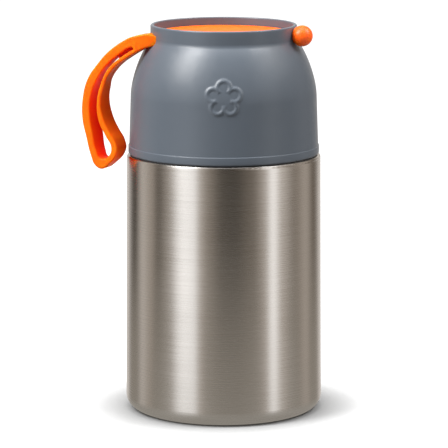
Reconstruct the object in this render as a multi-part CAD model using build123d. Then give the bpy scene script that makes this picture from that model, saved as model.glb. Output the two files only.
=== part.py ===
from build123d import *
from math import cos, radians, sin, tan
import os

# Insulated food jar: a double-walled steel body, a screw stopper with a vent button, and a
# bowl-shaped screw lid with a silicone strap loop and ball. Origin on the axis at the rest plane,
# +Z up, millimetres. The front of the jar faces -Y.

# Steel body, outside
body_height = 119.5  # rest plane to the shelf under the lid
body_radius_base = 45.8
body_taper = 0.9  # base radius to the radius under the lid
base_corner_radius = 6.5
shelf_corner_radius = 1.1
shell_wall = 0.6
foot_ring_width = 9.2  # ring the jar stands on
base_recess_depth = 4.5
shelf_width = 4.7  # body's top edge to the steel neck under the lid
neck_height = 11.5  # shelf to lip
lip_thickness = 0.7

# Base closures
cover_thickness = 0.6
cover_lift = 1.6  # rest plane to the underside of the base cover
cover_gap = 0.05  # all round the cover's edge
bottom_plate_thickness = 0.8
seal_dimple_radius = 7.0
seal_dimple_depth = 1.0
seal_hole_radius = 1.2
bead_radius = 3.0
bead_height = 1.1
getter_radius = 6.0
getter_height = 1.4

# Food vessel
vessel_wall = 0.5
vacuum_gap = 3.4  # outer wall to the food vessel
vessel_floor_height = 9.0
vessel_corner_radius = 9.0
neck_gap = 3.8  # outside of the neck to the mouth
mouth_depth = 14.0  # lip to the sealing land
land_step = 1.8  # mouth to the narrower land that the plug gasket seals on
land_length = 6.0
vessel_shoulder_drop = 7.0
vessel_shoulder_radius = 3.0
land_lower_radius = 1.5
land_upper_radius = 0.6
foil_thickness = 0.2
foil_gap = 0.3
foil_inset = 4.0  # foil's top below the vessel's shoulder

# Screw threads: ridge depth, clearance and lead
lid_thread_lead = 20.0
lid_thread_starts = 4
lid_thread_sweep = 110.0  # degrees that each ridge runs
stopper_thread_lead = 14.0
stopper_thread_starts = 3
stopper_thread_sweep = 130.0
thread_depth = 1.1
thread_root = 1.8  # axial width of a ridge where it meets its wall
thread_crest = 0.9
thread_clearance = 0.4  # radial, crest to the facing wall
thread_bite = 0.25  # how far a ridge is rooted in its wall
lid_thread_lag = 50.0  # degrees that a lid ridge starts behind the neck's ridge
stopper_thread_lag = 60.0
lid_thread_rise = 1.6  # lid's edge to the lowest neck ridge
stopper_thread_rise = 3.2  # sealing land to the lowest mouth ridge

# Stopper
land_clearance = 0.3
plug_wall = 2.0
plug_floor = 2.0
plug_taper_gap = 1.3  # sealing land to the plug's side
plug_overhang = 0.5  # plug's end below the sealing land
plug_gasket_height = 3.0
plug_groove_depth = 0.8
plug_step_gap = 1.0  # plug step above the sealing land
plug_edge_radius = 0.8
plug_inner_radius = 0.5
flange_overhang = 2.2  # flange beyond the mouth
flange_thickness = 2.6
flange_gasket_thickness = 0.8
flange_gasket_width = 2.4
flange_gasket_inset = 0.4
grip_inset = 7.4  # mouth to the ends of the grip bar
grip_width = 15.0
grip_height = 9.0
grip_edge_radius = 2.2
grip_sink = 0.5
foam_gap = 0.3
foam_edge_radius = 0.6

# Vent
stem_radius = 1.8
stem_clearance = 0.06
button_radius = 5.2
button_height = 3.4
button_edge_radius = 1.0
button_proud = 1.0  # button above the grip
button_clearance = 0.5
button_travel = 2.0
spring_pressed = 2.0  # room left for the spring under the pressed button
spring_coil_radius = 3.4
spring_wire_radius = 0.35
spring_turns = 3.5
spring_end_gap = 0.05
vent_tube_wall = 1.6
vent_seal_radius = 4.6
vent_seal_height = 1.3
vent_seal_gap = 0.1  # seal to the plug's end
vent_clip_radius = 3.0
vent_clip_height = 0.6
vent_clip_slot = 1.8
stem_tip = 0.7  # stem's end below the clip
stem_chamfer = 0.4

# Lid
seam_gap = 0.7
gasket_inset = 0.1  # gasket ring to the steel shelf's inner corner
gasket_width = 1.8
lid_band_setback = 0.7  # lid's band inside the steel body
lid_band_height = 3.8
lid_band_lower_radius = 0.8
lid_band_step_radius = 0.15
lid_skirt_height = 6.0  # thicker threaded skirt above the band
lid_wall = 2.3
lid_band_step = 0.4
lid_draft = 2.0  # degrees
lid_side_height = 40.6  # lid's edge to the corner of its shoulder
lid_shoulder_share = 0.92  # part of the sloped run that the shoulder's arc takes
lid_inside_share = 0.86
lid_ceiling_radius = 1.2
foot_setback = 10.45  # lid's band to the neck ring
lid_crown_rise = 11.9  # shoulder's corner to the root of the neck ring
foot_root_radius = 3.0
foot_wall = 1.6
foot_top_radius = 0.7
foot_top_inner_radius = 0.5
foot_height = 7.1
recess_depth = 7.9
lid_floor = 2.2

# Raised flower outline on the lid's front
motif_rise = 30.4  # lid's edge to the motif's centre
motif_petals = 5
motif_petal_radius = 3.7
motif_ring_radius = 4.9
motif_line = 1.5
motif_relief = 0.5

# Orange silicone
disc_drop = 3.7  # rim to the top of the disc
disc_plate = 1.2
disc_skirt = 1.5
disc_gap = 0.25
disc_edge_radius = 0.5
tail_width = 8.0
tail_thickness = 2.8
tail_gap = 0.3
strap_setback = 12.0  # strap runs this far in front of the axis
ball_radius = 4.8
ball_gap = 0.15  # ball to the neck ring
ball_lift = 3.8  # ball's centre above the tail's underside
ball_stem_width = 5.0
ball_stem_inset = 8.0  # stem's start inside the neck ring
strap_width = 9.0
strap_yaw = 20.0  # degrees that the loop's plane is turned to the front
strap_reach = 5.65  # neck ring to the loop's pivot, along X
strap_pivot_setback = 8.2  # pivot in front of the axis
strap_pivot_lift = 0.1  # pivot above the tail's underside
strap_root_radius = 2.7
strap_pivot_gap = 0.3
strap_head_length = 2.8
strap_head_tilt = 10.0  # degrees that the head rises to the neck ring
strap_head_inset = 0.1  # head narrower than the loop on each side
strap_stub_length = 14.0
strap_edge_round = 0.9

# Radii, heights and fits that follow
body_radius_top = body_radius_base - body_taper
foot_ring_radius = body_radius_base - foot_ring_width
neck_radius = body_radius_top - shelf_width
vessel_radius = body_radius_top - shell_wall - vacuum_gap
mouth_radius = neck_radius - neck_gap
land_radius = mouth_radius - land_step
lip_height = body_height + neck_height
land_top = lip_height - mouth_depth
land_bottom = land_top - land_length
plug_radius = mouth_radius - thread_depth - thread_clearance
plug_low_radius = land_radius - plug_taper_gap
plug_bottom = land_bottom - plug_overhang
plug_step = land_top + plug_step_gap
flange_radius = mouth_radius + flange_overhang
flange_bottom = lip_height + flange_gasket_thickness
flange_top = flange_bottom + flange_thickness
grip_length = 2 * (mouth_radius - grip_inset)
grip_top = flange_top + grip_height
spring_length = spring_pressed + button_travel
pocket_floor = grip_top - button_height + button_proud - spring_length
vent_tube_radius = stem_radius + stem_clearance
lid_bottom = body_height + seam_gap
lid_band_radius = body_radius_top - lid_band_setback
lid_side_radius = lid_band_radius - lid_band_step
foot_radius = lid_band_radius - foot_setback
lid_shoulder_height = lid_bottom + lid_side_height
foot_root_height = lid_shoulder_height + lid_crown_rise
lid_height = foot_root_height + foot_height
recess_floor_height = lid_height - recess_depth
recess_radius = foot_radius - foot_wall
skirt_radius = neck_radius + thread_depth + thread_clearance
lid_thread_low = lid_bottom + lid_thread_rise
stopper_thread_low = land_top + stopper_thread_rise
disc_height = lid_height - disc_drop
tail_low = recess_floor_height
tail_high = tail_low + tail_thickness
ball_x = ((foot_radius + ball_gap + ball_radius) ** 2 - strap_setback ** 2) ** 0.5
ball_height = tail_low + ball_lift
strap_pivot_z = tail_low + strap_pivot_lift


def turned(outline):
    """Solid of revolution about the axis from an outline drawn as (radius, height)."""
    return revolve(Plane.XZ * outline, Axis.Z)


def ring(inner, outer, low, high):
    """Plain ring, or a disc when the inner radius is zero."""
    section = Circle(outer)
    if inner > 0:
        section -= Circle(inner)
    return Pos(0, 0, low) * extrude(section, high - low)


def block(x_range, y_range, z_range):
    """Box between two corners given as ranges."""
    low = (x_range[0], y_range[0], z_range[0])
    size = (x_range[1] - x_range[0], y_range[1] - y_range[0], z_range[1] - z_range[0])
    return Pos(*low) * Box(*size, align=(Align.MIN, Align.MIN, Align.MIN))


def outline_face(points, radii):
    """Closed face from corner points, each rounded by its own radius."""
    return make_face(FilletPolyline(*points, radius=radii, close=True))


def round_edges(solid, radius=None):
    """Circular edges of a solid, all of them or those of one radius."""
    circles = solid.edges().filter_by(GeomType.CIRCLE)
    if radius is None:
        return circles
    return circles.filter_by(lambda edge: abs(edge.radius - radius) < 0.01)


def shifted(points, gap):
    """Corner points of a polyline moved sideways by gap, to the left of its direction."""
    lines = []
    for (x0, y0), (x1, y1) in zip(points, points[1:]):
        length = ((x1 - x0) ** 2 + (y1 - y0) ** 2) ** 0.5
        dx, dy = (x1 - x0) / length, (y1 - y0) / length
        lines.append((x0 - dy * gap, y0 + dx * gap, dx, dy))
    corners = [lines[0][:2]]
    for (xa, ya, dxa, dya), (xb, yb, dxb, dyb) in zip(lines, lines[1:]):
        along = ((xb - xa) * dyb - (yb - ya) * dxb) / (dxa * dyb - dya * dxb)
        corners.append((xa + dxa * along, ya + dya * along))
    x_end, y_end = points[-1]
    dx, dy = lines[-1][2:]
    corners.append((x_end - dy * gap, y_end + dx * gap))
    return corners


def sheet(points, radii, wall):
    """Sheet metal section: a rounded polyline and its copy one wall to the left, closed."""
    inner_radii = []
    for before, corner, after, radius in zip(points, points[1:], points[2:], radii):
        came = (corner[0] - before[0], corner[1] - before[1])
        leaves = (after[0] - corner[0], after[1] - corner[1])
        turn = came[0] * leaves[1] - came[1] * leaves[0]
        inner_radii.append(max(radius - wall, 0.05) if turn > 0 else radius + wall)
    inner = shifted(points, wall)
    corners = list(points) + inner[::-1]
    return outline_face(corners, [0] + list(radii) + [0, 0] + inner_radii[::-1] + [0])


def corner_radius(before, corner, after, share):
    """Radius of an arc at a corner whose tangent takes a share of the run to the next point."""
    came = Vector(corner[0] - before[0], corner[1] - before[1])
    leaves = Vector(after[0] - corner[0], after[1] - corner[1])
    return share * leaves.length / tan(radians(came.get_angle(leaves)) / 2)


def thread(wall_radius, outward, low, lead, starts, sweep_angle, first_angle):
    """Helical ridges on a wall, one per start, as solids rooted a little in that wall."""
    side = 1 if outward else -1
    root = wall_radius - side * thread_bite
    crest = wall_radius + side * thread_depth
    profile = [
        (root, -thread_root / 2),
        (crest, -thread_crest / 2),
        (crest, thread_crest / 2),
        (root, thread_root / 2),
    ]
    path = Edge.make_helix(lead, lead * sweep_angle / 360, wall_radius)
    section = Plane.XZ * make_face(Polyline(*profile, close=True))
    ridge = sweep(section, path=path, is_frenet=True)
    ridge = Pos(0, 0, low) * ridge
    return [Rot(0, 0, first_angle + 360 / starts * count) * ridge for count in range(starts)]


def between_ridges(low, lead, starts, lag):
    """Start height of a mating ridge that begins lag degrees on, midway under the other ridges."""
    return low - lead / starts / 2 + lead * lag / 360


# Steel body


def make_outer_shell():
    outline = [
        (foot_ring_radius - shell_wall, base_recess_depth),
        (foot_ring_radius - shell_wall, 0),
        (body_radius_base, 0),
        (body_radius_top, body_height),
        (neck_radius, body_height),
        (neck_radius, lip_height - lip_thickness),
    ]
    radii = [shell_wall * 2, base_corner_radius, shelf_corner_radius, shelf_corner_radius]
    shell = turned(sheet(outline, radii, shell_wall))
    ridges = thread(neck_radius, True, lid_thread_low, lid_thread_lead, lid_thread_starts,
                    lid_thread_sweep, 0)
    for ridge in ridges:
        shell += ridge
    return shell


def make_base_cover():
    cover = ring(0, foot_ring_radius - shell_wall - cover_gap, cover_lift, cover_lift + cover_thickness)
    return fillet(cover.edges().sort_by(Axis.Z)[0], cover_thickness / 2)


def make_vacuum_bottom():
    low = base_recess_depth
    plate = ring(0, foot_ring_radius + shell_wall, low, low + bottom_plate_thickness)
    dimple = ring(0, seal_dimple_radius, low - seal_dimple_depth, low)
    plate += dimple
    inside = low - seal_dimple_depth + bottom_plate_thickness
    plate -= ring(0, seal_dimple_radius - bottom_plate_thickness, inside, low + bottom_plate_thickness)
    return plate - ring(0, seal_hole_radius, low - seal_dimple_depth, low + bottom_plate_thickness)


def make_seal_bead():
    seat = base_recess_depth - seal_dimple_depth + bottom_plate_thickness
    dome = ring(0, bead_radius, seat, seat + bead_height)
    dome = fillet(dome.edges().sort_by(Axis.Z)[-1], bead_height * 0.8)
    plug = ring(0, seal_hole_radius, base_recess_depth - seal_dimple_depth, seat)
    return dome + plug


def make_getter():
    top = vessel_floor_height - vessel_wall
    pellet = ring(0, getter_radius, top - getter_height, top)
    return fillet(pellet.edges().sort_by(Axis.Z)[0], getter_height / 4)


def make_inner_vessel():
    floor = vessel_floor_height - vessel_wall
    neck_low = land_bottom - vessel_shoulder_drop
    outline = [
        (0, floor),
        (vessel_radius, floor),
        (vessel_radius, neck_low),
        (land_radius + vessel_wall, land_bottom),
        (land_radius + vessel_wall, land_top),
        (mouth_radius + vessel_wall, land_top),
        (mouth_radius + vessel_wall, lip_height - lip_thickness),
    ]
    radii = [vessel_corner_radius, vessel_shoulder_radius, land_lower_radius, land_upper_radius,
             land_upper_radius]
    vessel = turned(sheet(outline, radii, vessel_wall))
    vessel += ring(mouth_radius, neck_radius, lip_height - lip_thickness, lip_height)
    vessel = fillet(round_edges(vessel).group_by(Axis.Z)[-1], lip_thickness / 2 - 0.05)
    ridges = thread(mouth_radius, False, stopper_thread_low, stopper_thread_lead, stopper_thread_starts,
                    stopper_thread_sweep, 0)
    for ridge in ridges:
        vessel += ridge
    return vessel


def make_radiation_foil():
    low = vessel_floor_height + vessel_corner_radius
    high = land_bottom - vessel_shoulder_drop - foil_inset
    inner = vessel_radius + foil_gap
    return ring(inner, inner + foil_thickness, low, high)


# Stopper


def make_stopper_body():
    outline = [
        (vent_tube_radius, plug_bottom),
        (plug_low_radius, plug_bottom),
        (plug_low_radius, plug_step),
        (plug_radius, plug_step),
        (plug_radius, flange_bottom),
        (plug_radius - plug_wall, flange_bottom),
        (plug_radius - plug_wall, plug_step + plug_wall),
        (plug_low_radius - plug_wall, plug_step + plug_wall),
        (plug_low_radius - plug_wall, plug_bottom + plug_floor),
        (vent_tube_radius + vent_tube_wall, plug_bottom + plug_floor),
        (vent_tube_radius + vent_tube_wall, flange_bottom),
        (vent_tube_radius, flange_bottom),
    ]
    edge, inner = plug_edge_radius, plug_inner_radius
    radii = [0, edge, inner, inner, 0, 0, inner, inner, edge, inner, 0, 0]
    plug = turned(outline_face(outline, radii))
    groove_low = land_bottom + (land_length - plug_gasket_height) / 2
    groove_radius = plug_low_radius - plug_groove_depth
    plug -= ring(groove_radius, plug_low_radius + 1, groove_low, groove_low + plug_gasket_height)
    low = between_ridges(stopper_thread_low, stopper_thread_lead, stopper_thread_starts,
                         stopper_thread_lag)
    ridges = thread(plug_radius, True, low, stopper_thread_lead, stopper_thread_starts,
                    stopper_thread_sweep - stopper_thread_lag, stopper_thread_lag)
    for ridge in ridges:
        plug += ridge
    return plug


def make_plug_gasket():
    low = land_bottom + (land_length - plug_gasket_height) / 2
    outer = land_radius - land_clearance
    seal = ring(plug_low_radius - plug_groove_depth, outer, low, low + plug_gasket_height)
    return fillet(round_edges(seal, outer), plug_gasket_height / 4)


def make_stopper_foam():
    inner = vent_tube_radius + vent_tube_wall + foam_gap
    wide = plug_radius - plug_wall - foam_gap
    narrow = plug_low_radius - plug_wall - foam_gap
    step = plug_step + plug_wall + foam_gap
    low = plug_bottom + plug_floor + foam_gap
    high = flange_bottom - foam_gap
    outline = [(inner, low), (narrow, low), (narrow, step), (wide, step), (wide, high), (inner, high)]
    return turned(outline_face(outline, foam_edge_radius))


def make_flange_gasket():
    outer = mouth_radius + flange_gasket_width
    return ring(mouth_radius + flange_gasket_inset, outer, lip_height, lip_height + flange_gasket_thickness)


def make_stopper_cover():
    flange = ring(0, flange_radius, flange_bottom, flange_top)
    flange = fillet(flange.edges().sort_by(Axis.Z)[-1], flange_thickness * 0.4)
    bar = SlotOverall(grip_length, grip_width)
    grip = Pos(0, 0, flange_top - grip_sink) * extrude(bar, grip_height + grip_sink)
    grip = fillet(grip.edges().group_by(Axis.Z)[-1], grip_edge_radius)
    cover = flange + grip
    cover -= ring(0, button_radius + button_clearance, pocket_floor, grip_top + 1)
    return cover - ring(0, vent_tube_radius, flange_bottom - 1, grip_top)


# Vent: button, spring, seal and clip move on the axis of the stopper


def make_vent_button():
    low = pocket_floor + spring_length
    cap = ring(0, button_radius, low, low + button_height)
    cap = fillet(cap.edges().sort_by(Axis.Z)[-1], button_edge_radius)
    stem_bottom = plug_bottom - vent_seal_height - vent_clip_height - stem_tip
    stem = ring(0, stem_radius, stem_bottom, low)
    return cap + chamfer(stem.edges().sort_by(Axis.Z)[0], stem_chamfer)


def make_vent_spring():
    height = spring_length - 2 * spring_wire_radius - 2 * spring_end_gap
    path = Edge.make_helix(height / spring_turns, height, spring_coil_radius)
    wire = Plane.XZ * (Pos(spring_coil_radius, 0) * Circle(spring_wire_radius))
    low = pocket_floor + spring_wire_radius + spring_end_gap
    return Pos(0, 0, low) * sweep(wire, path=path, is_frenet=True)


def make_vent_seal():
    high = plug_bottom - vent_seal_gap
    seal = ring(stem_radius, vent_seal_radius, high - vent_seal_height, high)
    rim = round_edges(seal, vent_seal_radius).sort_by(Axis.Z)[0]
    return fillet(rim, vent_seal_height * 0.6)


def make_vent_clip():
    high = plug_bottom - vent_seal_gap - vent_seal_height
    clip = ring(stem_radius, vent_clip_radius, high - vent_clip_height, high)
    half = vent_clip_slot / 2
    return clip - block((0, vent_clip_radius + 1), (-half, half), (high - vent_clip_height - 1, high + 1))


# Lid


def lid_side(grow):
    """Corner points of the lid's side from the band to the top of the foot, moved out by grow."""
    rise = lid_shoulder_height - lid_bottom - lid_band_height
    top_radius = lid_side_radius - rise * tan(radians(lid_draft))
    side = [
        (lid_side_radius, lid_bottom + lid_band_height),
        (top_radius, lid_shoulder_height),
        (foot_radius, foot_root_height),
        (foot_radius, lid_height),
    ]
    return shifted(side, -grow)


def lid_outside(grow):
    """Solid inside the lid's side surface, grown outwards."""
    side = lid_side(grow)
    shoulder_radius = corner_radius(*lid_side(0)[:3], lid_shoulder_share) + grow
    outline = [(0, side[0][1]), *side, (0, side[-1][1])]
    return turned(outline_face(outline, [0, 0, shoulder_radius, foot_root_radius, 0, 0]))


def make_motif():
    """Outline of a round-petalled flower, as a thin upright plate in front of the lid."""
    flower = Circle(motif_ring_radius)
    for count in range(motif_petals):
        turn = radians(90 + 360 / motif_petals * count)
        place = Pos(motif_ring_radius * cos(turn), motif_ring_radius * sin(turn))
        flower += place * Circle(motif_petal_radius)
    line = flower - offset(flower, -motif_line)
    return Pos(0, 0, lid_bottom + motif_rise) * extrude(Plane.XZ * line, lid_band_radius)


def make_lid_shell():
    band_top = lid_bottom + lid_band_height
    outside = [
        (0, lid_bottom),
        (lid_band_radius, lid_bottom),
        (lid_band_radius, band_top),
        *lid_side(0),
        (0, lid_height),
    ]
    shoulder_radius = corner_radius(*lid_side(0)[:3], lid_shoulder_share)
    radii = [0, lid_band_lower_radius, lid_band_step_radius, lid_band_step_radius / 2,
             shoulder_radius, foot_root_radius, foot_top_radius, 0]
    lid = turned(outline_face(outside, radii))
    lid += make_motif() & lid_outside(motif_relief)
    (shoulder, root) = lid_side(-lid_wall)[1:3]
    floor_under = recess_floor_height - lid_floor
    reach = (floor_under - shoulder[1]) / (root[1] - shoulder[1])
    skirt_top = (skirt_radius, band_top + lid_skirt_height)
    ceiling = (shoulder[0] + (root[0] - shoulder[0]) * reach, floor_under)
    inside = [
        (0, lid_bottom - 1),
        (skirt_radius, lid_bottom - 1),
        skirt_top,
        shoulder,
        ceiling,
        (0, floor_under),
    ]
    inside_radius = corner_radius(skirt_top, shoulder, ceiling, lid_inside_share)
    lid -= turned(outline_face(inside, [0, 0, 0, inside_radius, lid_ceiling_radius, 0]))
    lid -= ring(0, recess_radius, recess_floor_height, lid_height + 1)
    lid = fillet(round_edges(lid, recess_radius).sort_by(Axis.Z)[-1], foot_top_inner_radius)
    lid -= tail_stub(tail_gap)
    lid -= ball_stem(tail_gap)
    low = between_ridges(lid_thread_low, lid_thread_lead, lid_thread_starts, lid_thread_lag)
    ridges = thread(skirt_radius, False, low, lid_thread_lead, lid_thread_starts,
                    lid_thread_sweep - lid_thread_lag, lid_thread_lag)
    for ridge in ridges:
        lid += ridge
    return lid


def make_lid_gasket():
    inner = neck_radius + shelf_corner_radius + gasket_inset
    return ring(inner, inner + gasket_width, body_height, lid_bottom)


def make_top_disc():
    radius = recess_radius - disc_gap
    underside = disc_height - disc_plate
    disc = ring(0, radius, recess_floor_height, disc_height)
    disc = fillet(round_edges(disc), disc_edge_radius)
    disc -= ring(0, radius - disc_skirt, recess_floor_height - 1, underside)
    half = tail_width / 2 + tail_gap
    slot = (-strap_setback - half, -strap_setback + half)
    disc -= block((-radius - 1, radius + 1), slot, (recess_floor_height - 1, underside))
    return disc - tail_stub(tail_gap)


# Silicone strap: a tail under the disc, a ball at one end of it and the loop at the other

strap_plane = Plane(
    origin=(-foot_radius - strap_reach, -strap_pivot_setback, strap_pivot_z),
    x_dir=(cos(radians(strap_yaw)), -sin(radians(strap_yaw)), 0),
    z_dir=(-sin(radians(strap_yaw)), -cos(radians(strap_yaw)), 0),
)


def tail_stub(gap):
    """Where the tail leaves the neck ring and meets the loop, grown by gap for its hole."""
    low = tail_low - strap_pivot_z
    stub = Box(strap_stub_length + 2 * gap, tail_thickness + gap, tail_width + 2 * gap,
               align=(Align.MIN, Align.MIN, Align.CENTER))
    return strap_plane * (Pos(strap_root_radius + strap_pivot_gap - gap, low, 0) * stub)


def ball_stem(gap):
    """Square stem from the tail through the neck ring to the ball, grown by gap for its hole."""
    half = ball_stem_width / 2 + gap
    return block((foot_radius - ball_stem_inset, ball_x), (-strap_setback - half, -strap_setback + half),
                 (tail_low, tail_high + gap))


def make_strap_anchor():
    half = tail_width / 2
    reach = ((recess_radius - tail_gap) ** 2 - (strap_setback + half) ** 2) ** 0.5
    tail = block((-reach, reach), (-strap_setback - half, -strap_setback + half), (tail_low, tail_high))
    ball = Pos(ball_x, -strap_setback, ball_height) * Sphere(ball_radius)
    head = Box(strap_head_length, 2 * strap_root_radius, strap_width - 2 * strap_head_inset,
               align=(Align.MIN, Align.CENTER, Align.CENTER))
    head = fillet(head.edges().filter_by(Axis.X), strap_edge_round)
    head = Rot(0, 0, strap_head_tilt) * Pos(strap_root_radius + strap_pivot_gap, 0, 0) * head
    head = strap_plane * head
    return tail + ball_stem(0) + ball + tail_stub(0) + (head - lid_outside(tail_gap))


# Loop outline in its own plane, from the pivot: the outer edge, then the slot that ends in the eye
loop_edge = [
    (-3.0, 1.8), (-8.6, -1.2), (-13.3, -4.8), (-18.2, -10.0), (-23.8, -17.3), (-26.8, -26.6),
    (-26.9, -35.6), (-25.0, -44.2), (-22.3, -53.0), (-20.4, -57.6), (-16.8, -59.3), (-13.6, -57.2),
    (-8.9, -50.2), (-10.0, -45.2), (-13.0, -40.6), (-16.2, -34.8), (-17.9, -27.2), (-16.6, -19.9),
    (-14.1, -14.9), (-10.9, -11.2), (-7.0, -8.2), (-3.0, -5.0),
]
slot_edge = [
    (-2.6, -1.2), (-9.0, -4.9), (-15.4, -10.6), (-20.2, -18.2), (-22.9, -27.0), (-23.1, -34.6),
    (-21.6, -43.1), (-20.0, -50.6), (-17.0, -55.2), (-13.3, -54.2), (-11.9, -49.2), (-14.4, -43.0),
    (-18.6, -35.6), (-20.6, -27.6), (-18.7, -19.8), (-14.2, -12.8), (-8.6, -7.2), (-3.2, -2.8),
]


def make_strap_loop():
    rim = Spline(*loop_edge)
    root = Polyline(loop_edge[-1], (0, -strap_root_radius))
    end = RadiusArc((0, -strap_root_radius), (0, strap_root_radius), -strap_root_radius)
    close = Line((0, strap_root_radius), loop_edge[0])
    outline = make_face(Curve() + [rim, root, end, close])
    slot = make_face(Spline(*slot_edge, periodic=True))
    band = extrude(outline - slot, strap_width / 2, both=True)
    return strap_plane * band


parts = {
    "outer_shell": make_outer_shell,
    "base_cover": make_base_cover,
    "vacuum_bottom": make_vacuum_bottom,
    "seal_bead": make_seal_bead,
    "getter": make_getter,
    "inner_vessel": make_inner_vessel,
    "radiation_foil": make_radiation_foil,
    "stopper_body": make_stopper_body,
    "plug_gasket": make_plug_gasket,
    "stopper_foam": make_stopper_foam,
    "flange_gasket": make_flange_gasket,
    "stopper_cover": make_stopper_cover,
    "vent_button": make_vent_button,
    "vent_spring": make_vent_spring,
    "vent_seal": make_vent_seal,
    "vent_clip": make_vent_clip,
    "lid_shell": make_lid_shell,
    "lid_gasket": make_lid_gasket,
    "top_disc": make_top_disc,
    "strap_anchor": make_strap_anchor,
    "strap_loop": make_strap_loop,
}

os.makedirs("parts", exist_ok=True)
for name, make in parts.items():
    export_step(make(), f"parts/{name}.step")
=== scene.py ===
import math

import bmesh
import bpy
from mathutils import Matrix, Vector


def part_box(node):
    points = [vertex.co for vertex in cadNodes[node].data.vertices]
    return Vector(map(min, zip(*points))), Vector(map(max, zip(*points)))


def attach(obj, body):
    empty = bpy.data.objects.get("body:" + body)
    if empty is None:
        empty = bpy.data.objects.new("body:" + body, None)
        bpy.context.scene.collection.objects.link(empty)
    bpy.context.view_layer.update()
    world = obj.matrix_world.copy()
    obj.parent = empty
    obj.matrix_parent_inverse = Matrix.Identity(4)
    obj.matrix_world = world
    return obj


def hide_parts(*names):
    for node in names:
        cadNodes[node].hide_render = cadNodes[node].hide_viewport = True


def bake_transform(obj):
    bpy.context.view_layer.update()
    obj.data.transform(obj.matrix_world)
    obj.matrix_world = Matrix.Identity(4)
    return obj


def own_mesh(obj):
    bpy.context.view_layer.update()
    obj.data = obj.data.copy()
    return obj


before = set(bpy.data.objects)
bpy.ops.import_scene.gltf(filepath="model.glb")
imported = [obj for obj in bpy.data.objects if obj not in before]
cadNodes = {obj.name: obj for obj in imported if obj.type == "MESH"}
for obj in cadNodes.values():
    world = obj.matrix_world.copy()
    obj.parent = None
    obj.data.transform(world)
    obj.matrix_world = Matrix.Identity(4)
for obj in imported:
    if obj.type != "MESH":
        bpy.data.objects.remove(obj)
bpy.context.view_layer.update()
mm = 0.001
print("frame loaded:", len(cadNodes), "nodes")

# Camera first, at the height of a table top product shot
cameraSet = {
    "distance": 1.300,
    "height": 0.3144,
    "pitch": 9.95,  # degrees down
    "lens": 227.6,
    "sensor": 36.0,
    "shiftX": 0.0006,
    "nearest": 0.05,
    "furthest": 50.0,
}


def makeCamera():
    data = bpy.data.cameras.new("tableCamera")
    data.sensor_width = cameraSet["sensor"]
    data.lens = cameraSet["lens"]
    data.shift_x = cameraSet["shiftX"]
    data.clip_start = cameraSet["nearest"]
    data.clip_end = cameraSet["furthest"]
    camera = bpy.data.objects.new("tableCamera", data)
    camera.location = (0, -cameraSet["distance"], cameraSet["height"])
    camera.rotation_euler = (math.radians(90 - cameraSet["pitch"]), 0, 0)
    bpy.context.scene.collection.objects.link(camera)
    bpy.context.scene.camera = camera


makeCamera()

# Small helpers for materials
noiseMiddle = (0.3, 0.7)  # a noise texture rarely leaves this range


def newMaterial(name):
    material = bpy.data.materials.new(name)
    material.use_nodes = True
    tree = material.node_tree
    return material, tree, tree.nodes["Principled BSDF"]


def fillSockets(node, sockets):
    # each socket takes a value, or a link from another node's output
    for key, value in sockets.items():
        if isinstance(value, bpy.types.NodeSocket):
            node.id_data.links.new(value, node.inputs[key])
        else:
            node.inputs[key].default_value = value


def addNode(tree, kind, sockets=None, **settings):
    node = tree.nodes.new(kind)
    for key, value in settings.items():
        setattr(node, key, value)
    fillSockets(node, sockets or {})
    return node


def calc(tree, operation, first, second):
    sockets = {0: first, 1: second}
    return addNode(tree, "ShaderNodeMath", sockets, operation=operation).outputs[0]


def mapRange(tree, value, fromRange, toRange):
    sockets = {"Value": value, "From Min": fromRange[0], "From Max": fromRange[1],
               "To Min": toRange[0], "To Max": toRange[1]}
    return addNode(tree, "ShaderNodeMapRange", sockets).outputs["Result"]


def mixColours(tree, share, first, second, way="MIX"):
    sockets = {"Factor": share, "A": first, "B": (*second, 1)}
    mixed = addNode(tree, "ShaderNodeMix", sockets, data_type="RGBA", blend_type=way)
    return mixed.outputs["Result"]


def objectNoise(tree, scale, detail=2.0, rough=0.5, stretch=None):
    # noise in the piece's own coordinates, stretched along an axis where asked
    coords = addNode(tree, "ShaderNodeTexCoord").outputs["Object"]
    if stretch:
        mapping = addNode(tree, "ShaderNodeMapping", {"Vector": coords, "Scale": stretch})
        coords = mapping.outputs["Vector"]
    sockets = {"Vector": coords, "Scale": scale, "Detail": detail, "Roughness": rough}
    return addNode(tree, "ShaderNodeTexNoise", sockets).outputs["Fac"]


def spread(tree, noise, low, high):
    # the usual middle of a noise, stretched to the range low to high
    return mapRange(tree, noise, noiseMiddle, (low, high))


def blendColours(tree, noise, first, second):
    ramp = addNode(tree, "ShaderNodeValToRGB", {"Fac": noise})
    for stop, place, colour in zip(ramp.color_ramp.elements, noiseMiddle, (first, second)):
        stop.position = place
        stop.color = (*colour, 1)
    return ramp.outputs["Color"]


def addBump(tree, heights, normal=None):
    # heights are (value, strength, distance in metres), one bump on top of the other
    for value, strength, distance in heights:
        sockets = {"Height": value, "Strength": strength, "Distance": distance}
        if normal:
            sockets["Normal"] = normal
        normal = addNode(tree, "ShaderNodeBump", sockets).outputs["Normal"]
    return normal


def seenDirectly(tree):
    # 1 for what the camera sees, also in a mirror or through clear things, and 0 for other light
    path = addNode(tree, "ShaderNodeLightPath").outputs
    seen = calc(tree, "MAXIMUM", path["Is Camera Ray"], path["Is Glossy Ray"])
    return calc(tree, "MAXIMUM", seen, path["Is Transmission Ray"])


# Moulded plastic and rubber: a tone that drifts a little, fine eroded grain, uneven gloss
plasticSet = {
    "driftDetail": 3.0,
    "grainDetail": 3.0,
    "grainRough": 0.6,
    "markDepth": 0.0002,
    "grainDepth": 0.0001,
}


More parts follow.
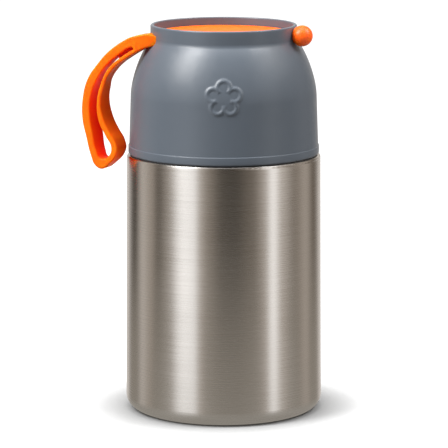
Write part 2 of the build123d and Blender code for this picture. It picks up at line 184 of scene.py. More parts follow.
def mouldedPlastic(name, look):
    material, tree, shader = newMaterial(name)
    drift = objectNoise(tree, look["driftScale"], plasticSet["driftDetail"])
    grain = objectNoise(tree, look["grainScale"],
                        plasticSet["grainDetail"], plasticSet["grainRough"])
    marks = objectNoise(tree, look["markScale"])
    colour = blendColours(tree, drift, look["tone"], look["toneTwo"])
    if "paintedSlotTone" in look:  # painted light: a deeper red painted where light only reaches it through the rubber, in the slot and behind the front face
        paintedSlotShare = addNode(tree, "ShaderNodeAttribute", attribute_name="paintedSlotShare").outputs["Fac"]
        colour = mixColours(tree, paintedSlotShare, colour, look["paintedSlotTone"])
    heights = [(marks, look["markBump"], plasticSet["markDepth"]),
               (grain, look["grainBump"], plasticSet["grainDepth"])]
    fillSockets(shader, {
        "Base Color": colour,
        "Roughness": spread(tree, marks, look["gloss"], look["glossTwo"]),
        "Normal": addBump(tree, heights),
        **look.get("sockets", {}),
    })
    return material


# Brushed metal: the lines run round the axis, so they are thin in height and long in the others
brushSet = {
    "lineDetail": 4.0,
    "lineRough": 0.62,
    "lineDepth": 0.00004,
    "fineDepth": 0.00002,
}


def crispUpperEdge(tree, share):
    # surface directions keep this share of an upward lean, so a small upper rounding looks crisp
    facing = addNode(tree, "ShaderNodeNewGeometry").outputs["Normal"]
    part = addNode(tree, "ShaderNodeSeparateXYZ", {0: facing}).outputs
    up = calc(tree, "MULTIPLY", calc(tree, "MAXIMUM", part["Z"], 0.0), share)
    lean = calc(tree, "ADD", up, calc(tree, "MINIMUM", part["Z"], 0.0))
    joined = addNode(tree, "ShaderNodeCombineXYZ", {"X": part["X"], "Y": part["Y"], "Z": lean})
    unit = addNode(tree, "ShaderNodeVectorMath", {0: joined.outputs[0]}, operation="NORMALIZE")
    return unit.outputs["Vector"]


def brushedMetal(name, look):
    material, tree, shader = newMaterial(name)
    lines = objectNoise(tree, 1.0, brushSet["lineDetail"], brushSet["lineRough"],
                        look["lineStretch"])
    fine = objectNoise(tree, 1.0, stretch=look["fineStretch"])
    cloud = objectNoise(tree, look["cloudScale"])
    mean = calc(tree, "MULTIPLY", calc(tree, "ADD", lines, fine), 0.5)
    gloss = spread(tree, lines, look["gloss"], look["glossTwo"])
    cloudy = spread(tree, cloud, -look["cloudGloss"], look["cloudGloss"])
    tangent = addNode(tree, "ShaderNodeTangent", direction_type="RADIAL", axis="Z")
    heights = [(lines, look["lineBump"], brushSet["lineDepth"]),
               (fine, look["fineBump"], brushSet["fineDepth"])]
    fillSockets(shader, {
        "Base Color": blendColours(tree, mean, look["tone"], look["toneTwo"]),
        "Metallic": 1.0,
        "Roughness": calc(tree, "ADD", gloss, cloudy),
        "Anisotropic": look["stretchGloss"],
        "Anisotropic Rotation": look["turnGloss"],
        "Tangent": tangent.outputs["Tangent"],
        "Normal": addBump(tree, heights, crispUpperEdge(tree, look["edgeLean"])),
    })
    return material


# Turned metal: lathe rings round the axis, for discs and spun parts
turnedSet = {
    "ringWander": 1.2,
    "ringDetail": 3.0,
    "ringDetailScale": 1.5,
    "ringDepth": 0.00003,
    "stainDetail": 4.0,
    "stainRough": 0.6,
    "stainBump": 0.1,
    "stainDepth": 0.00005,
}


def turnedMetal(name, look):
    material, tree, shader = newMaterial(name)
    sockets = {
        "Vector": addNode(tree, "ShaderNodeTexCoord").outputs["Object"],
        "Scale": look["ringScale"],
        "Distortion": turnedSet["ringWander"],
        "Detail": turnedSet["ringDetail"],
        "Detail Scale": turnedSet["ringDetailScale"],
    }
    rings = addNode(tree, "ShaderNodeTexWave", sockets,
                    wave_type="RINGS", rings_direction="Z", wave_profile="SIN")
    stains = objectNoise(tree, look["stainScale"],
                         turnedSet["stainDetail"], turnedSet["stainRough"])
    heights = [(rings.outputs["Fac"], look["ringBump"], turnedSet["ringDepth"]),
               (stains, turnedSet["stainBump"], turnedSet["stainDepth"])]
    fillSockets(shader, {
        "Base Color": blendColours(tree, stains, look["tone"], look["toneTwo"]),
        "Metallic": 1.0,
        "Roughness": spread(tree, stains, look["gloss"], look["glossTwo"]),
        "Normal": addBump(tree, heights),
    })
    return material


# Finishes: each goes between two tones and two values of gloss, where 0 is a mirror
lidGreyLook = {
    "tone": (0.083, 0.099, 0.120),
    "toneTwo": (0.089, 0.106, 0.128),
    "driftScale": 28.0,
    "grainScale": 2600.0,
    "grainBump": 0.30,
    "markScale": 320.0,
    "markBump": 0.10,
    "gloss": 0.33,
    "glossTwo": 0.40,
}
orangeLook = {
    "tone": (1.0, 0.118, 0.001),
    "toneTwo": (1.0, 0.138, 0.002),
    "driftScale": 45.0,
    "grainScale": 2400.0,
    "grainBump": 0.20,
    "markScale": 260.0,
    "markBump": 0.10,
    "gloss": 0.36,
    "glossTwo": 0.46,
    "sockets": {
        "Subsurface Weight": 0.30,
        "Subsurface Radius": (1.0, 0.25, 0.03),
        "Subsurface Scale": 0.003,
        "Specular IOR Level": 0.4,
    },
}
discLook = {
    **orangeLook,
    "tone": (1.0, 0.105, 0.001),
    "toneTwo": (1.0, 0.125, 0.001),
    "gloss": 0.46,
    "glossTwo": 0.56,
    "sockets": {**orangeLook["sockets"], "Specular IOR Level": 0.18},
}
strapLook = {
    **orangeLook,
    "tone": (1.0, 0.150, 0.001),
    "toneTwo": (1.0, 0.175, 0.002),
    # painted light: this deeper red stands in for light that only reaches the slot through the
    # rubber
    "paintedSlotTone": (1.0, 0.022, 0.0),
    "gloss": 0.42,
    "glossTwo": 0.52,
    "sockets": {
        "Subsurface Weight": 0.7,
        "Subsurface Radius": (1.0, 0.12, 0.01),
        "Subsurface Scale": 0.008,
        "Specular IOR Level": 0.10,
    },
}
sealLook = {
    "tone": (0.012, 0.012, 0.013),
    "toneTwo": (0.020, 0.020, 0.021),
    "driftScale": 90.0,
    "grainScale": 2200.0,
    "grainBump": 0.25,
    "markScale": 400.0,
    "markBump": 0.1,
    "gloss": 0.55,
    "glossTwo": 0.66,
}
clearSealLook = {
    "tone": (0.70, 0.70, 0.67),
    "toneTwo": (0.76, 0.76, 0.73),
    "driftScale": 120.0,
    "grainScale": 2000.0,
    "grainBump": 0.15,
    "markScale": 350.0,
    "markBump": 0.1,
    "gloss": 0.34,
    "glossTwo": 0.46,
    "sockets": {
        "Subsurface Weight": 0.4,
        "Subsurface Radius": (1.0, 0.9, 0.8),
        "Subsurface Scale": 0.004,
    },
}
stopperWhiteLook = {
    "tone": (0.74, 0.74, 0.72),
    "toneTwo": (0.79, 0.79, 0.77),
    "driftScale": 50.0,
    "grainScale": 1800.0,
    "grainBump": 0.15,
    "markScale": 300.0,
    "markBump": 0.08,
    "gloss": 0.36,
    "glossTwo": 0.46,
}
stopperDarkLook = {
    "tone": (0.052, 0.056, 0.062),
    "toneTwo": (0.062, 0.066, 0.073),
    "driftScale": 50.0,
    "grainScale": 2000.0,
    "grainBump": 0.35,
    "markScale": 320.0,
    "markBump": 0.1,
    "gloss": 0.44,
    "glossTwo": 0.56,
}
buttonLook = {
    "tone": (0.92, 0.20, 0.015),
    "toneTwo": (0.97, 0.23, 0.020),
    "driftScale": 80.0,
    "grainScale": 1800.0,
    "grainBump": 0.12,
    "markScale": 300.0,
    "markBump": 0.08,
    "gloss": 0.30,
    "glossTwo": 0.40,
}
foamLook = {
    "tone": (0.78, 0.76, 0.68),
    "toneTwo": (0.86, 0.84, 0.77),
    "driftScale": 160.0,
    "grainScale": 900.0,
    "grainBump": 0.9,
    "markScale": 420.0,
    "markBump": 0.8,
    "gloss": 0.85,
    "glossTwo": 0.95,
}
brushedLook = {
    "tone": (0.585, 0.566, 0.546),
    "toneTwo": (0.655, 0.636, 0.617),
    "lineStretch": (26, 26, 3600),
    "fineStretch": (60, 60, 9000),
    "cloudScale": 30.0,
    "cloudGloss": 0.012,
    "lineBump": 0.10,
    "fineBump": 0.12,
    "gloss": 0.25,
    "glossTwo": 0.30,
    "stretchGloss": 0.85,
    "turnGloss": 0.25,
    "edgeLean": 0.2,
}
pressedLook = {
    "tone": (0.58, 0.57, 0.55),
    "toneTwo": (0.66, 0.65, 0.63),
    "ringScale": 900.0,
    "ringBump": 0.25,
    "stainScale": 60.0,
    "gloss": 0.24,
    "glossTwo": 0.34,
}
solderLook = {
    "tone": (0.42, 0.41, 0.40),
    "toneTwo": (0.55, 0.54, 0.53),
    "ringScale": 300.0,
    "ringBump": 0.1,
    "stainScale": 500.0,
    "gloss": 0.30,
    "glossTwo": 0.50,
}
getterLook = {
    "tone": (0.22, 0.22, 0.22),
    "toneTwo": (0.30, 0.30, 0.30),
    "ringScale": 500.0,
    "ringBump": 0.1,
    "stainScale": 900.0,
    "gloss": 0.55,
    "glossTwo": 0.75,
}
foilLook = {
    "tone": (0.70, 0.36, 0.20),
    "toneTwo": (0.78, 0.42, 0.25),
    "ringScale": 120.0,
    "ringBump": 0.3,
    "stainScale": 140.0,
    "gloss": 0.14,
    "glossTwo": 0.24,
}
wireLook = {
    "tone": (0.60, 0.60, 0.59),
    "toneTwo": (0.68, 0.68, 0.67),
    "ringScale": 1200.0,
    "ringBump": 0.15,
    "stainScale": 700.0,
    "gloss": 0.18,
    "glossTwo": 0.28,
}

lidGrey = mouldedPlastic("matt_grey_plastic", lidGreyLook)
orangeRubber = mouldedPlastic("orange_silicone_rubber", orangeLook)
discRubber = mouldedPlastic("orange_disc_rubber", discLook)
strapRubber = mouldedPlastic("orange_strap_rubber", strapLook)
darkRubber = mouldedPlastic("dark_seal_rubber", sealLook)
clearRubber = mouldedPlastic("clear_seal_rubber", clearSealLook)
stopperWhite = mouldedPlastic("white_stopper_plastic", stopperWhiteLook)
stopperDark = mouldedPlastic("dark_stopper_plastic", stopperDarkLook)
buttonOrange = mouldedPlastic("orange_button_plastic", buttonLook)
coreFoam = mouldedPlastic("core_foam", foamLook)
brushedSteel = brushedMetal("brushed_body_steel", brushedLook)
pressedSteel = turnedMetal("pressed_plain_steel", pressedLook)
solderMetal = turnedMetal("solder_drop", solderLook)
getterMetal = turnedMetal("getter_pellet", getterLook)
copperFoil = turnedMetal("radiation_foil_metal", foilLook)
springSteel = turnedMetal("spring_wire_steel", wireLook)

nodeFinishes = {
    "outer_shell": brushedSteel,
    "base_cover": pressedSteel,
    "vacuum_bottom": pressedSteel,
    "inner_vessel": pressedSteel,
    "seal_bead": solderMetal,
    "getter": getterMetal,
    "radiation_foil": copperFoil,
    "stopper_body": stopperWhite,
    "stopper_cover": stopperDark,
    "stopper_foam": coreFoam,
    "plug_gasket": clearRubber,
    "flange_gasket": clearRubber,
    "vent_seal": clearRubber,
    "vent_button": buttonOrange,
    "vent_spring": springSteel,
    "vent_clip": springSteel,
    "lid_gasket": darkRubber,
    "top_disc": discRubber,
    "lid_shell": lidGrey,
    "strap_anchor": orangeRubber,
    "strap_loop": strapRubber,
}
for nodeName, finish in nodeFinishes.items():
    for materialSlot in cadNodes[nodeName].material_slots:
        materialSlot.material = finish
print("finishes made:", len(bpy.data.materials))

# Small helpers for meshes
meshSet = {
    "mergeDistance": 0.000005,
    "cutDistance": 0.0000001,
    "blockSegments": 4,
}


def between(value, first, last):
    # how far a value has come from the first to the last, 0 to 1
    return min(max((value - first) / (last - first), 0), 1)


def drawProfile(bm, corners, start):
    # a chain of (radius, height, rounding, segments) in mm, turned to the start angle
    verts = [bm.verts.new((corner[0] * mm, 0, corner[1] * mm)) for corner in corners]
    for pair in zip(verts, verts[1:]):
        bm.edges.new(pair)
    places = [Vector(corner[:2]) for corner in corners]
    for number in range(1, len(corners) - 1):
        came = places[number] - places[number - 1]
        leaves = places[number + 1] - places[number]
        rounding, segments = corners[number][2:]
        offset = rounding * math.tan(came.angle(leaves) / 2)
        if offset > 0:
            bmesh.ops.bevel(bm, geom=[verts[number]], offset=offset * mm, offset_type="OFFSET",
                            affect="VERTICES", segments=segments, profile=0.5, material=-1)
    bmesh.ops.rotate(bm, verts=bm.verts, cent=(0, 0, 0), matrix=Matrix.Rotation(start, 3, "Z"))


def spinRound(bm, geom, angle, steps, rise=0.0, closed=False):
    # round the jar's axis, climbing by rise in metres
    return bmesh.ops.spin(bm, geom=geom, cent=(0, 0, 0), axis=(0, 0, 1), angle=angle, steps=steps,
                          dvec=(0, 0, rise / steps), use_merge=closed)


def addBlock(bm, lows, highs, rounding, matrix=Matrix.Identity(4)):
    # a block with rounded edges between two corners in mm
    middle = [(low + high) / 2 * mm for low, high in zip(lows, highs)]
    size = [(high - low) * mm for low, high in zip(lows, highs)]
    placed = matrix @ Matrix.Translation(middle) @ Matrix.Diagonal((*size, 1))
    made = bmesh.ops.create_cube(bm, size=1, matrix=placed)
    edges = list({edge for vert in made["verts"] for edge in vert.link_edges})
    bmesh.ops.bevel(bm, geom=edges, offset=rounding * mm, offset_type="OFFSET", affect="EDGES",
                    segments=meshSet["blockSegments"], profile=0.5, material=-1)


def mergeClose(bm):
    bmesh.ops.remove_doubles(bm, verts=bm.verts, dist=meshSet["mergeDistance"])


def closeMesh(bm, sharpAngle):
    mergeClose(bm)
    bmesh.ops.recalc_face_normals(bm, faces=bm.faces)
    for face in bm.faces:
        face.smooth = True
    for edge in bm.edges:
        if edge.is_manifold and edge.calc_face_angle() > math.radians(sharpAngle):
            edge.smooth = False


def makePiece(name, bm, finish):
    mesh = bpy.data.meshes.new(name)
    bm.to_mesh(mesh)
    bm.free()
    mesh.materials.append(finish)
    piece = bpy.data.objects.new(name, mesh)
    bpy.context.scene.collection.objects.link(piece)
    return piece


# Lid shell with its raised flower
lidSet = {
    "profile": [  # radius, height, rounding, segments
        (0, 171.9, 0, 0),
        (32.15, 171.9, 0.4, 4),
        (32.15, 179.8, 0.5, 6),
        (33.75, 179.8, 0.7, 8),
        (33.75, 172.7, 3.0, 12),
        (42.515, 160.8, 43.96, 80),
        (43.8, 124.0, 0.12, 4),
        (44.2, 124.0, 0.32, 5),
        (44.2, 120.2, 0.8, 8),
        (41.7, 120.2, 0.2, 3),
        (41.7, 130.0, 0.5, 3),
        (40.24, 160.01, 34.3, 20),
        (33.10, 169.7, 1.2, 4),
        (0, 169.7, 0, 0),
    ],
    "frontSweep": 40.0,  # degrees of finer mesh for the flower
    "frontSteps": 100,
    "restSteps": 116,
    "fineRow": 0.36,  # height of the rows on the outside
    "fineRadius": 42.5,
    "fineLow": 123.0,
    "wideRow": 4.0,  # and everywhere else
    "sharpAngle": 40.0,
    "flowerHeight": 150.6,
    "petals": 5,
    "petalRadius": 3.7,
    "petalRing": 4.9,
    "petalSoftness": 0.9,  # rounds the corner where two petals meet
    "beadMiddle": 0.75,  # bead's centre line inside the petals' edge
    "beadHalf": 1.25,
    "beadRise": 0.5,
    "beadPower": 1.4,  # above 1 makes the bead's foot softer
    "wallMiddle": 41.9,  # a radius between the wall's outside and inside
    "wallLean": 0.17,  # and how it draws in above a height
    "wallLeanFrom": 147.0,
    "threadSection": [(0.25, -0.9), (0.25, 0.9), (-1.1, 0.45), (-1.1, -0.45)],  # from the wall, up
    "threadWall": 41.7,
    "threadStarts": 4,
    "threadLow": 122.08,
    "threadFirst": 50.0,
    "threadSweep": 60.0,
    "threadLead": 20.0,
    "threadSteps": 24,
}


def petalDistance(across, up):
    # distance to the edge of the joined petals, negative inside
    softness = lidSet["petalSoftness"]
    found = math.hypot(across, up) - lidSet["petalRing"]
    for count in range(lidSet["petals"]):
        turn = math.radians(90 + 360 / lidSet["petals"] * count)
        centre = (lidSet["petalRing"] * math.cos(turn), lidSet["petalRing"] * math.sin(turn))
        petal = math.hypot(across - centre[0], up - centre[1]) - lidSet["petalRadius"]
        near = max(softness - abs(found - petal), 0) / softness
        found = min(found, petal) - near * near * softness / 4
    return found


def raiseFlower(bm):
    for vert in bm.verts:
        across, up = vert.co.x / mm, vert.co.z / mm
        radius = math.hypot(vert.co.x, vert.co.y)
        leaning = max(up - lidSet["wallLeanFrom"], 0) * lidSet["wallLean"]
        if vert.co.y > 0 or radius < (lidSet["wallMiddle"] - leaning) * mm:
            continue
        away = petalDistance(across, up - lidSet["flowerHeight"]) + lidSet["beadMiddle"]
        if abs(away) < lidSet["beadHalf"]:
            slope = math.cos(away / lidSet["beadHalf"] * math.pi / 2)
            grown = 1 + lidSet["beadRise"] * slope ** lidSet["beadPower"] * mm / radius
            vert.co.x *= grown
            vert.co.y *= grown


def addThread(bm, count):
    # one ridge of the lid's thread: a small trapezium spun up the wall
    verts = []
    for out, up in lidSet["threadSection"]:
        place = ((lidSet["threadWall"] + out) * mm, 0, (lidSet["threadLow"] + up) * mm)
        verts.append(bm.verts.new(place))
    face = bm.faces.new(verts)
    first = math.radians(lidSet["threadFirst"] + 360 / lidSet["threadStarts"] * count)
    bmesh.ops.rotate(bm, verts=verts, cent=(0, 0, 0), matrix=Matrix.Rotation(first, 3, "Z"))
    rise = lidSet["threadLead"] * lidSet["threadSweep"] / 360 * mm
    spinRound(bm, [*verts, *face.edges, face], math.radians(lidSet["threadSweep"]),
              lidSet["threadSteps"], rise)


def makeLid():
    bm = bmesh.new()
    sweep = math.radians(lidSet["frontSweep"])
    drawProfile(bm, lidSet["profile"], -math.pi / 2 - sweep / 2)
    for edge in list(bm.edges):
        radius = min(math.hypot(vert.co.x, vert.co.y) for vert in edge.verts) / mm
        low = min(vert.co.z for vert in edge.verts) / mm
        fine = radius > lidSet["fineRadius"] and low > lidSet["fineLow"]
        cuts = int(edge.calc_length() / mm / lidSet["fineRow" if fine else "wideRow"])
        if cuts:
            bmesh.ops.subdivide_edges(bm, edges=[edge], cuts=cuts)
    front = spinRound(bm, [*bm.verts, *bm.edges], sweep, lidSet["frontSteps"])
    spinRound(bm, front["geom_last"], 2 * math.pi - sweep, lidSet["restSteps"])
    mergeClose(bm)
    raiseFlower(bm)
    for count in range(lidSet["threadStarts"]):
        addThread(bm, count)
    closeMesh(bm, lidSet["sharpAngle"])
    return makePiece("lid_with_flower", bm, lidGrey)


lidPiece = makeLid()
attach(lidPiece, "lid")
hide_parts("lid_shell")
print("lid made:", len(lidPiece.data.polygons), "faces")

# Silicone strap, drawn in its own plane: along it towards the lid, and up
strapSet = {
    "pivot": (-39.4, -8.2, 172.0),
    "yaw": 20.0,
    "width": 9.0,
    "rounding": 0.75,
    "roundingSegments": 5,
    "curveSteps": 10,
    "sharpAngle": 60.0,
    "bendStart": 4.0,  # along the strap from its pivot, towards the lid
    "bendEnd": -5.0,
    "taperFrom": 0,  # front side narrows into the neck from here
    "taperTo": 10,
    "taper": 0.5,
    "taperPower": 1.5,
    "twist": 2.0,  # how far the back edge is wrung round in the hanging part
    "twistFrom": -18.0,
    "twistTo": -60.0,
    "web": ((-4.6, -1.2, -3.9), (4.6, 1.2, 2.3)),  # closes the back of the slot's upper end
    "webMiddle": (-5.0, -4.0),
    "webTurn": 36.0,
    "webRounding": 0.2,
    "paintedSlotFrom": 1.6,  # behind the front face, where the painted deeper red reaches full strength
    # share of the painted deeper red on the side next to the lid
    "paintedLidSideShare": 0.55,
    "innerStart": 17,  # the number of the outline's run where the side next to the lid begins
    "edge": [
        (14.0, 3.3), (10.4, 3.4), (8.4, 3.8), (6.0, 4.4), (3.5, 4.2), (0.8, 3.65),
        (-2.1, 2.9), (-4.9, 1.5), (-8.8, -0.9), (-13.3, -4.4), (-18.1, -9.6), (-23.5, -17.4),
        (-26.0, -26.6), (-26.2, -35.6), (-24.3, -44.2), (-22.0, -52.8), (-19.9, -57.2),
        (-16.6, -58.7), (-13.6, -56.9), (-8.9, -50.2), (-10.0, -45.2), (-13.0, -40.6),
        (-15.8, -34.8), (-16.9, -27.2), (-15.3, -20.5), (-13.8, -16.5), (-11.5, -13.1),
        (-8.3, -9.9), (-4.2, -7.0), (0.0, -4.4), (4.3, -2.1), (7.0, -1.3), (10.0, -1.0),
        (14.0, -0.9),
    ],
    "slot": [
        (-0.9, -1.9), (-2.7, -2.0), (-6.9, -4.6), (-14.0, -10.6), (-19.2, -18.2), (-22.2, -27.0),
        (-22.3, -34.6), (-20.9, -43.1), (-19.3, -50.2), (-17.0, -53.9), (-13.6, -52.9),
        (-11.9, -48.8), (-14.8, -43.0), (-18.1, -36.4), (-18.9, -28.0), (-16.9, -19.4),
        (-12.7, -11.5), (-5.8, -5.8), (-1.9, -3.3), (-0.8, -2.6),
    ],
}


def strapMatrix():
    # the strap's own plane: x along it towards the lid, y up, z across its width to the front
    turn = math.radians(strapSet["yaw"])
    along = Vector((math.cos(turn), -math.sin(turn), 0))
    across = Vector((-math.sin(turn), -math.cos(turn), 0))
    placed = Matrix.Translation(Vector(strapSet["pivot"]) * mm)
    return placed @ Matrix((along, (0, 0, 1), across)).transposed().to_4x4()


def addOutline(curve, points):
    spline = curve.splines.new("BEZIER")
    spline.bezier_points.add(len(points) - 1)
    for place, (along, up) in zip(spline.bezier_points, points):
        place.co = (along * mm, up * mm, 0)
        place.handle_left_type = "AUTO"
        place.handle_right_type = "AUTO"
    spline.use_cyclic_u = True


def drawStrap():
    # a flat band with its slot and rounded edges
    curve = bpy.data.curves.new("strapOutline", "CURVE")
    curve.dimensions = "2D"
    curve.fill_mode = "BOTH"
    curve.resolution_u = strapSet["curveSteps"]
    curve.extrude = (strapSet["width"] / 2 - strapSet["rounding"]) * mm
    curve.bevel_depth = strapSet["rounding"] * mm
    curve.bevel_resolution = strapSet["roundingSegments"]
    curve.offset = -strapSet["rounding"] * mm
    addOutline(curve, strapSet["edge"])
    addOutline(curve, strapSet["slot"])
    drawn = bpy.data.objects.new("strapOutline", curve)
    bpy.context.scene.collection.objects.link(drawn)
    bpy.context.view_layer.update()
    evaluated = drawn.evaluated_get(bpy.context.evaluated_depsgraph_get())
    flat = bpy.data.meshes.new_from_object(evaluated)
    bm = bmesh.new()
    bm.from_mesh(flat)
    bpy.data.meshes.remove(flat)
    bpy.data.objects.remove(drawn)
    bpy.data.curves.remove(curve)
    return bm


def nearestRun(point, points):
    # distance to a closed outline and the number of the run it is nearest to
    best = (math.inf, 0)
    for number, first in enumerate(points):
        start = Vector(first)
        run = Vector(points[(number + 1) % len(points)]) - start
        share = between((point - start).dot(run), 0, run.length_squared)
        best = min(best, ((point - start - run * share).length, number))
    return best


def findPaintedSlotShare(place):
    # share of the painted deeper red, standing in for light through the rubber: 0 on the front and
    # the outside, 1 well inside the slot, less on the side next to the lid
    point = Vector((place.x, place.y))
    toEdge, run = nearestRun(point, strapSet["edge"])
    toSlot = nearestRun(point, strapSet["slot"])[0]
    front = strapSet["width"] / 2
    deep = between(place.z, front, front - strapSet["paintedSlotFrom"])
    if toSlot < toEdge:
        return deep
    return deep * strapSet["paintedLidSideShare"] if run > strapSet["innerStart"] else 0.0


def makeStrap():
    bm = drawStrap()
    for place in range(strapSet["taperFrom"], strapSet["taperTo"] + 1):  # rows for the taper
        bmesh.ops.bisect_plane(bm, geom=[*bm.verts, *bm.edges, *bm.faces],
                               dist=meshSet["cutDistance"], plane_co=(place * mm, 0, 0),
                               plane_no=(1, 0, 0))
    middle = Matrix.Translation([part * mm for part in (*strapSet["webMiddle"], 0)])
    placed = middle @ Matrix.Rotation(math.radians(strapSet["webTurn"]), 4, "Z")
    addBlock(bm, *strapSet["web"], strapSet["webRounding"], placed)
    # painted light: each vertex keeps its share of the painted deeper red in an attribute
    paintedSlotLayer = bm.verts.layers.float.new("paintedSlotShare")
    for vert in bm.verts:
        vert[paintedSlotLayer] = findPaintedSlotShare(vert.co / mm)
        inNeck = between(vert.co.x / mm, strapSet["taperFrom"], strapSet["taperTo"])
        if vert.co.z > 0:
            vert.co.z *= 1 - strapSet["taper"] * inNeck ** strapSet["taperPower"]
        hang = between(vert.co.y / mm, strapSet["twistFrom"], strapSet["twistTo"])
        backwards = 0.5 * mm - vert.co.z / strapSet["width"]  # nothing at the front edge
        vert.co.x += strapSet["twist"] * math.sin(math.pi * hang) * backwards
    bmesh.ops.transform(bm, matrix=strapMatrix(), verts=bm.verts)
    closeMesh(bm, strapSet["sharpAngle"])
    return makePiece("carry_strap", bm, strapRubber)


strapPiece = makeStrap()
weighted = strapPiece.modifiers.new("evenShading", "WEIGHTED_NORMAL")
weighted.keep_sharp = True
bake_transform(strapPiece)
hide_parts("strap_loop")
print("strap made:", len(strapPiece.data.polygons), "faces")

# Ball, stem and tail at the other end of the strap; blocks go from a low to a high corner
ballSet = {
    "centre": (35.8, -12.0, 175.6),
    "radius": 4.8,
    "segments": 72,
    "rings": 48,
    "partingRise": 0.06,  # faint line where the two halves of the mould met
    "partingHalf": 0.4,
    "stem": ((24.0, -12.6, 173.6), (34.0, -9.6, 175.8)),
    "tail": ((-27.5, -16.0, 171.9), (27.5, -8.0, 174.7)),
    "stub": ((11.5, -0.1, -2.3), (17.0, 2.7, 2.3)),  # in the strap's own plane
    "rounding": 0.5,
    "sharpAngle": 60.0,
}


def makeBall():
    bm = bmesh.new()
    ball = bmesh.ops.create_uvsphere(bm, u_segments=ballSet["segments"],
                                     v_segments=ballSet["rings"], radius=ballSet["radius"] * mm)
    for vert in ball["verts"]:
        near = 1 - min(abs(vert.co.z) / mm / ballSet["partingHalf"], 1)
        vert.co *= 1 + ballSet["partingRise"] * near / ballSet["radius"]
    centre = Matrix.Translation(Vector(ballSet["centre"]) * mm)
    turned = Matrix.Rotation(math.radians(90), 4, "X")
    bmesh.ops.transform(bm, matrix=centre @ turned, verts=ball["verts"])
    addBlock(bm, *ballSet["stem"], ballSet["rounding"])
    addBlock(bm, *ballSet["tail"], ballSet["rounding"])
    addBlock(bm, *ballSet["stub"], ballSet["rounding"], strapMatrix())
    closeMesh(bm, ballSet["sharpAngle"])
    return makePiece("strap_ball_and_tail", bm, orangeRubber)


ballPiece = makeBall()
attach(ballPiece, "lid")
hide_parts("strap_anchor")
print("ball made:", len(ballPiece.data.polygons), "faces")

# Spring under the vent button
springSet = {
    "coil": 3.4,
    "wire": 0.35,
    "sides": 12,
    "turns": 3.5,
    "turnSteps": 40,
    "sharpAngle": 40.0,
    "keep": 0.48,  # of its height when the button is pressed home
}


def makeSpring():
    low, high = (corner[2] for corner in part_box("vent_spring"))
    wire = springSet["wire"] * mm
    bm = bmesh.new()
    centre = Matrix.Translation((springSet["coil"] * mm, 0, low + wire))
    turned = Matrix.Rotation(math.radians(90), 4, "X")
    bmesh.ops.create_circle(bm, cap_ends=True, segments=springSet["sides"], radius=wire,
                            matrix=centre @ turned)
    spinRound(bm, [*bm.verts, *bm.edges, *bm.faces], 2 * math.pi * springSet["turns"],
              int(springSet["turns"] * springSet["turnSteps"]), high - low - 2 * wire)
    closeMesh(bm, springSet["sharpAngle"])
    return makePiece("vent_coil_spring", bm, springSteel), low


springPiece, springFoot = makeSpring()
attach(springPiece, "stopper")
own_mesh(springPiece)
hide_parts("vent_spring")
print("spring made:", len(springPiece.data.polygons), "faces")

# Floor, light and backdrop
studioSet = {
    "floorSize": 12.0,
    "floorSquares": 8,
    "floorTone": 0.24,
    "floorMottle": 0.01,
    "floorMottleScale": 40.0,
    "floorMottleDetail": 3.0,
    "floorGlow": 0.95,  # camera and mirror rays only, so that the pale floor reads as white
    "shadowReach": 0.028,  # soft dark ring where the jar stands
    "shadowSamples": 8,
    "shadowPower": 3.0,
    "skyDiffuse": 0.42,
    "skyWhite": 1.0,
    "tentRadius": 0.20,
    "tentLow": -0.06,
    "tentTop": 0.38,
    "tentSteps": 96,
    "tentFoot": (0.34, 0.305, 0.26),  # the card is paler near the floor
    "tentFootHeight": 0.058,
    "tentCard": (0.40, 0.375, 0.335),  # under the floor
    "tentCardHeight": 0.02,
    "tentBands": [  # degrees round the jar from the camera, brightness: strip lights and dark card
        (-180, 0.80), (-148, 0.75), (-119, 0.05), (-101, 0.66), (-87, 0.44), (-75, 0.10),
        (-61, 0.30), (-42, 1.04), (-32, 1.12), (-24, 0.46), (-15, 0.24), (-2, 0.06), (11, 0.04),
        (30, 0.15), (44, 0.44), (54, 1.34), (65, 0.48), (82, 0.24), (103, 0.50), (122, 0.16),
        (148, 0.75), (180, 0.80),
    ],
    "tentTint": [(0.78, 0.20), (0.57, 0.39)],  # green and blue: share of red, more with light
    "lampAim": 0.10,
    "lamps": [  # name, azimuth, elevation, distance, width, height, power
        ("keySoftbox", -60, 47, 1.3, 0.42, 0.80, 28.0),
        ("sideSoftbox", 84, 46, 1.3, 0.50, 0.60, 14.0),
        ("topSoftbox", 0, 88, 1.4, 0.9, 0.9, 8.0),
    ],
}
whiteLight = (1, 1, 1, 1)


def makeFloorMaterial():
    material, tree, shader = newMaterial("pale_floor")
    tree.nodes.remove(shader)
    mottle = objectNoise(tree, studioSet["floorMottleScale"], studioSet["floorMottleDetail"])
    tone, drift = studioSet["floorTone"], studioSet["floorMottle"]
    colour = blendColours(tree, mottle, (tone * (1 - drift),) * 3, (tone * (1 + drift),) * 3)
    paint = addNode(tree, "ShaderNodeBsdfDiffuse", {"Color": colour})
    nearby = addNode(tree, "ShaderNodeAmbientOcclusion", {"Distance": studioSet["shadowReach"]},
                     samples=studioSet["shadowSamples"])
    clear = calc(tree, "POWER", nearby.outputs["AO"], studioSet["shadowPower"])
    level = calc(tree, "MULTIPLY", seenDirectly(tree), clear)
    strength = calc(tree, "MULTIPLY", level, studioSet["floorGlow"])
    glow = addNode(tree, "ShaderNodeEmission", {"Color": whiteLight, "Strength": strength})
    both = addNode(tree, "ShaderNodeAddShader", {0: paint.outputs[0], 1: glow.outputs[0]})
    fillSockets(tree.nodes["Material Output"], {"Surface": both.outputs[0]})
    return material


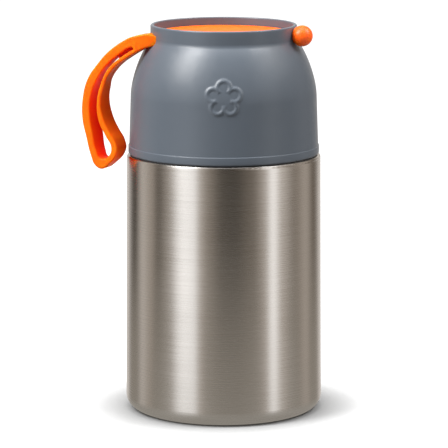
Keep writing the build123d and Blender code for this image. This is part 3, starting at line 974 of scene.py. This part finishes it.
def makeTentMaterial():
    # brightness goes by the angle round the jar: strips of light with dark card between them
    material, tree, shader = newMaterial("light_tent")
    tree.nodes.remove(shader)
    coords = addNode(tree, "ShaderNodeTexCoord").outputs["Object"]
    part = addNode(tree, "ShaderNodeSeparateXYZ", {0: coords}).outputs
    angle = calc(tree, "ARCTAN2", part["X"], calc(tree, "MULTIPLY", part["Y"], -1.0))
    turn = mapRange(tree, angle, (-math.pi, math.pi), (0.0, 1.0))
    ramp = addNode(tree, "ShaderNodeValToRGB", {"Fac": turn})
    ramp.color_ramp.interpolation = "EASE"
    stops = ramp.color_ramp.elements
    for number, (degrees, bright) in enumerate(studioSet["tentBands"]):
        place = (degrees + 180) / 360
        stop = stops[number] if number < 2 else stops.new(place)
        stop.position = place
        lit = min(bright, 1)
        tint = [bright * (share + more * lit) for share, more in studioSet["tentTint"]]
        stop.color = (bright, *tint, 1)
    nearFloor = mapRange(tree, part["Z"], (0.0, studioSet["tentFootHeight"]), (1.0, 0.0))
    low = studioSet["tentLow"]
    under = mapRange(tree, part["Z"], (low, low + studioSet["tentCardHeight"]), (1.0, 0.0))
    wall = mixColours(tree, nearFloor, ramp.outputs["Color"], studioSet["tentFoot"], "LIGHTEN")
    colour = mixColours(tree, under, wall, studioSet["tentCard"])
    glow = addNode(tree, "ShaderNodeEmission", {"Color": colour, "Strength": 1.0})
    fillSockets(tree.nodes["Material Output"], {"Surface": glow.outputs[0]})
    return material


def makeFloor():
    bm = bmesh.new()
    squares = studioSet["floorSquares"]
    bmesh.ops.create_grid(bm, x_segments=squares, y_segments=squares,
                          size=studioSet["floorSize"] / 2)
    floor = makePiece("studio_floor", bm, makeFloorMaterial())
    floor.visible_glossy = False  # the mirror image comes from the card under it
    return floor


def makeTent():
    # ring of strip lights and card with a bottom, seen only in reflections
    low, radius = studioSet["tentLow"], studioSet["tentRadius"]
    bm = bmesh.new()
    corners = [(0, 0, low), (0, radius, low), (0, radius, studioSet["tentTop"])]
    verts = [bm.verts.new(corner) for corner in corners]
    edges = [bm.edges.new(pair) for pair in zip(verts, verts[1:])]
    spinRound(bm, [*verts, *edges], 2 * math.pi, studioSet["tentSteps"], closed=True)
    mergeClose(bm)
    tent = makePiece("studio_tent", bm, makeTentMaterial())
    for rays in ("camera", "diffuse", "transmission", "volume_scatter", "shadow"):
        setattr(tent, "visible_" + rays, False)
    return tent


def hangLamp(name, azimuth, elevation, distance, width, height, power):
    turn = math.radians(azimuth)
    lift = math.radians(elevation)
    level = math.cos(lift)
    back = Vector((math.sin(turn) * level, -math.cos(turn) * level, math.sin(lift)))
    data = bpy.data.lights.new(name, "AREA")
    data.shape = "RECTANGLE"
    data.size = width
    data.size_y = height
    data.energy = power
    lamp = bpy.data.objects.new(name, data)
    lamp.location = Vector((0, 0, studioSet["lampAim"])) + back * distance
    lamp.rotation_euler = back.to_track_quat("Z", "Y").to_euler()
    lamp.visible_camera = False
    bpy.context.scene.collection.objects.link(lamp)


def makeSky():
    # white where it is seen, dimmer as light on the jar
    world = bpy.data.worlds.new("studioSky")
    bpy.context.scene.world = world
    world.use_nodes = True
    tree = world.node_tree
    tree.nodes.clear()
    sockets = {"Fac": seenDirectly(tree)}
    for number, level in enumerate(("skyDiffuse", "skyWhite"), 1):
        light = {"Color": whiteLight, "Strength": studioSet[level]}
        sockets[number] = addNode(tree, "ShaderNodeBackground", light).outputs[0]
    mixed = addNode(tree, "ShaderNodeMixShader", sockets)
    addNode(tree, "ShaderNodeOutputWorld", {"Surface": mixed.outputs[0]})


floor = makeFloor()
tent = makeTent()
for lampRow in studioSet["lamps"]:
    hangLamp(*lampRow)
makeSky()
bpy.context.scene.view_settings.view_transform = "Standard"
print("studio set")
